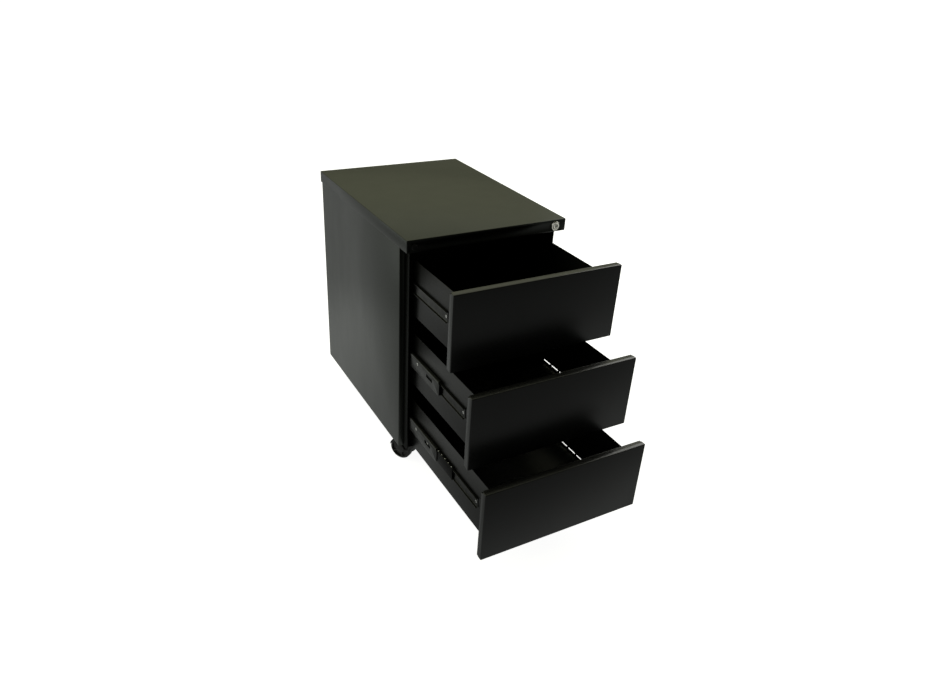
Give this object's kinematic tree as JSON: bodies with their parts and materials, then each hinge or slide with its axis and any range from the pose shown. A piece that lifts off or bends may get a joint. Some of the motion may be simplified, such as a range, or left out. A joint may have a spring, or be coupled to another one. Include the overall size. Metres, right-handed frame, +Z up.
{
  "type": "rolling pedestal cabinet",
  "caption": "Under-desk steel pedestal with full-extension drawers on ball-bearing slides, a cylinder lock in the top edge and twin-wheel swivel casters.",
  "frame": {"origin": "on the floor under the middle of the model's box, with the drawers as open as they stand at rest", "axes": "+X to the right seen from the drawer fronts, +Y towards the back of the cabinet, +Z up"},
  "size_m": [0.42, 0.963, 0.64],
  "materials": {
    "body_steel": "fine satin powder coat",
    "front_steel": "fine satin powder coat",
    "tray_steel": "satin powder coat",
    "black_steel": "satin powder coat",
    "dark_zinc": "black zinc plate",
    "bright_steel": "bright zinc plate",
    "chrome": "polished",
    "black_plastic": "fine texture",
    "wheel_plastic": "smooth"
  },
  "bodies": {
    "cabinet": {"top_cap": "body_steel", "left_side_panel": "body_steel", "right_side_panel": "body_steel", "back_panel": "body_steel", "base_pan": "black_steel", "lock_housing": "chrome", "blind_plug": "black_plastic", "cabinet_rail_top_left": "dark_zinc", "cabinet_rail_top_right": "dark_zinc", "cabinet_rail_middle_left": "dark_zinc", "cabinet_rail_middle_right": "dark_zinc", "cabinet_rail_bottom_left": "dark_zinc", "cabinet_rail_bottom_right": "dark_zinc", "caster_plate_front_left": "dark_zinc", "caster_plate_front_right": "dark_zinc", "caster_plate_rear_left": "dark_zinc", "caster_plate_rear_right": "dark_zinc"},
    "lock_cylinder": {"lock_core": "chrome", "lock_cam": "dark_zinc"},
    "lock_rod": {"lock_bar": "dark_zinc"},
    "middle_rails_top": {"middle_rail_top_left": "dark_zinc", "middle_rail_top_right": "dark_zinc"},
    "drawer_top": {"drawer_tray_top": "tray_steel", "drawer_front_top": "front_steel", "drawer_rail_top_left": "dark_zinc", "drawer_rail_top_right": "dark_zinc"},
    "ball_cages_top": {"ball_cage_top_left": "bright_steel", "ball_cage_top_right": "bright_steel"},
    "middle_rails_middle": {"middle_rail_middle_left": "dark_zinc", "middle_rail_middle_right": "dark_zinc"},
    "drawer_middle": {"drawer_tray_middle": "tray_steel", "drawer_front_middle": "front_steel", "drawer_rail_middle_left": "dark_zinc", "drawer_rail_middle_right": "dark_zinc"},
    "ball_cages_middle": {"ball_cage_middle_left": "bright_steel", "ball_cage_middle_right": "bright_steel"},
    "middle_rails_bottom": {"middle_rail_bottom_left": "dark_zinc", "middle_rail_bottom_right": "dark_zinc"},
    "drawer_bottom": {"drawer_tray_bottom": "tray_steel", "drawer_front_bottom": "front_steel", "drawer_rail_bottom_left": "dark_zinc", "drawer_rail_bottom_right": "dark_zinc"},
    "ball_cages_bottom": {"ball_cage_bottom_left": "bright_steel", "ball_cage_bottom_right": "bright_steel"},
    "caster_front_left": {"caster_housing_front_left": "black_plastic", "caster_axle_front_left": "bright_steel"},
    "wheel_front_left_a": {"caster_wheel_front_left_a": "wheel_plastic"},
    "wheel_front_left_b": {"caster_wheel_front_left_b": "wheel_plastic"},
    "caster_front_right": {"caster_housing_front_right": "black_plastic", "caster_axle_front_right": "bright_steel"},
    "wheel_front_right_a": {"caster_wheel_front_right_a": "wheel_plastic"},
    "wheel_front_right_b": {"caster_wheel_front_right_b": "wheel_plastic"},
    "caster_rear_left": {"caster_housing_rear_left": "black_plastic", "caster_axle_rear_left": "bright_steel"},
    "wheel_rear_left_a": {"caster_wheel_rear_left_a": "wheel_plastic"},
    "wheel_rear_left_b": {"caster_wheel_rear_left_b": "wheel_plastic"},
    "caster_rear_right": {"caster_housing_rear_right": "black_plastic", "caster_axle_rear_right": "bright_steel"},
    "wheel_rear_right_a": {"caster_wheel_rear_right_a": "wheel_plastic"},
    "wheel_rear_right_b": {"caster_wheel_rear_right_b": "wheel_plastic"}
  },
  "joints": [
    {"name": "lock_turn", "type": "hinge", "parent": "cabinet", "child": "lock_cylinder", "pos_m": [0.18, -0.0885, 0.6244], "axis": [0, 1, 0], "range_deg": [0, 90]},
    {"name": "lock_rod_drop", "type": "slide", "parent": "cabinet", "child": "lock_rod", "axis": [0, 0, -1], "range_m": [0, 0.01202]},
    {"name": "top_rails_slide", "type": "slide", "parent": "cabinet", "child": "middle_rails_top", "axis": [0, -1, 0], "range_m": [0, 0.25]},
    {"name": "top_drawer_slide", "type": "slide", "parent": "middle_rails_top", "child": "drawer_top", "axis": [0, -1, 0], "range_m": [-0.2206, 0.0294]},
    {"name": "top_cage_slide", "type": "slide", "parent": "middle_rails_top", "child": "ball_cages_top", "axis": [0, -1, 0], "range_m": [-0.1108, 0.0152]},
    {"name": "middle_rails_slide", "type": "slide", "parent": "cabinet", "child": "middle_rails_middle", "axis": [0, -1, 0], "range_m": [-0.172, 0.078]},
    {"name": "middle_drawer_slide", "type": "slide", "parent": "middle_rails_middle", "child": "drawer_middle", "axis": [0, -1, 0], "range_m": [-0.1435, 0.1065]},
    {"name": "middle_cage_slide", "type": "slide", "parent": "middle_rails_middle", "child": "ball_cages_middle", "axis": [0, -1, 0], "range_m": [-0.07225, 0.05375]},
    {"name": "bottom_rails_slide", "type": "slide", "parent": "cabinet", "child": "middle_rails_bottom", "axis": [0, -1, 0], "range_m": [-0.172, 0.078]},
    {"name": "bottom_drawer_slide", "type": "slide", "parent": "middle_rails_bottom", "child": "drawer_bottom", "axis": [0, -1, 0], "range_m": [-0.221, 0.029]},
    {"name": "bottom_cage_slide", "type": "slide", "parent": "middle_rails_bottom", "child": "ball_cages_bottom", "axis": [0, -1, 0], "range_m": [-0.111, 0.015]},
    {"name": "swivel_front_left", "type": "hinge", "parent": "cabinet", "child": "caster_front_left", "pos_m": [-0.1585, -0.0228, 0.065], "axis": [0, 0, 1], "continuous": true},
    {"name": "roll_front_left_a", "type": "hinge", "parent": "caster_front_left", "child": "wheel_front_left_a", "pos_m": [-0.17016, -0.00414, 0.03], "axis": [-0.848, -0.5299, 0], "continuous": true},
    {"name": "roll_front_left_b", "type": "hinge", "parent": "caster_front_left", "child": "wheel_front_left_b", "pos_m": [-0.17016, -0.00414, 0.03], "axis": [-0.848, -0.5299, 0], "continuous": true},
    {"name": "swivel_front_right", "type": "hinge", "parent": "cabinet", "child": "caster_front_right", "pos_m": [0.1585, -0.0228, 0.065], "axis": [0, 0, 1], "continuous": true},
    {"name": "roll_front_right_a", "type": "hinge", "parent": "caster_front_right", "child": "wheel_front_right_a", "pos_m": [0.17016, -0.00414, 0.03], "axis": [-0.848, 0.5299, 0], "continuous": true},
    {"name": "roll_front_right_b", "type": "hinge", "parent": "caster_front_right", "child": "wheel_front_right_b", "pos_m": [0.17016, -0.00414, 0.03], "axis": [-0.848, 0.5299, 0], "continuous": true},
    {"name": "swivel_rear_left", "type": "hinge", "parent": "cabinet", "child": "caster_rear_left", "pos_m": [-0.1585, 0.4158, 0.065], "axis": [0, 0, 1], "continuous": true},
    {"name": "roll_rear_left_a", "type": "hinge", "parent": "caster_rear_left", "child": "wheel_rear_left_a", "pos_m": [-0.14165, 0.42994, 0.03], "axis": [-0.6428, 0.766, 0], "continuous": true},
    {"name": "roll_rear_left_b", "type": "hinge", "parent": "caster_rear_left", "child": "wheel_rear_left_b", "pos_m": [-0.14165, 0.42994, 0.03], "axis": [-0.6428, 0.766, 0], "continuous": true},
    {"name": "swivel_rear_right", "type": "hinge", "parent": "cabinet", "child": "caster_rear_right", "pos_m": [0.1585, 0.4158, 0.065], "axis": [0, 0, 1], "continuous": true},
    {"name": "roll_rear_right_a", "type": "hinge", "parent": "caster_rear_right", "child": "wheel_rear_right_a", "pos_m": [0.14165, 0.42994, 0.03], "axis": [-0.6428, -0.766, 0], "continuous": true},
    {"name": "roll_rear_right_b", "type": "hinge", "parent": "caster_rear_right", "child": "wheel_rear_right_b", "pos_m": [0.14165, 0.42994, 0.03], "axis": [-0.6428, -0.766, 0], "continuous": true}
  ],
  "couplings": [
    {"joint": "lock_turn", "follows": "lock_rod_drop", "rad_per_m": 130.67},
    {"joint": "top_cage_slide", "follows": "top_drawer_slide", "ratio": 0.5},
    {"joint": "middle_cage_slide", "follows": "middle_drawer_slide", "ratio": 0.5},
    {"joint": "bottom_cage_slide", "follows": "bottom_drawer_slide", "ratio": 0.5}
  ]
}
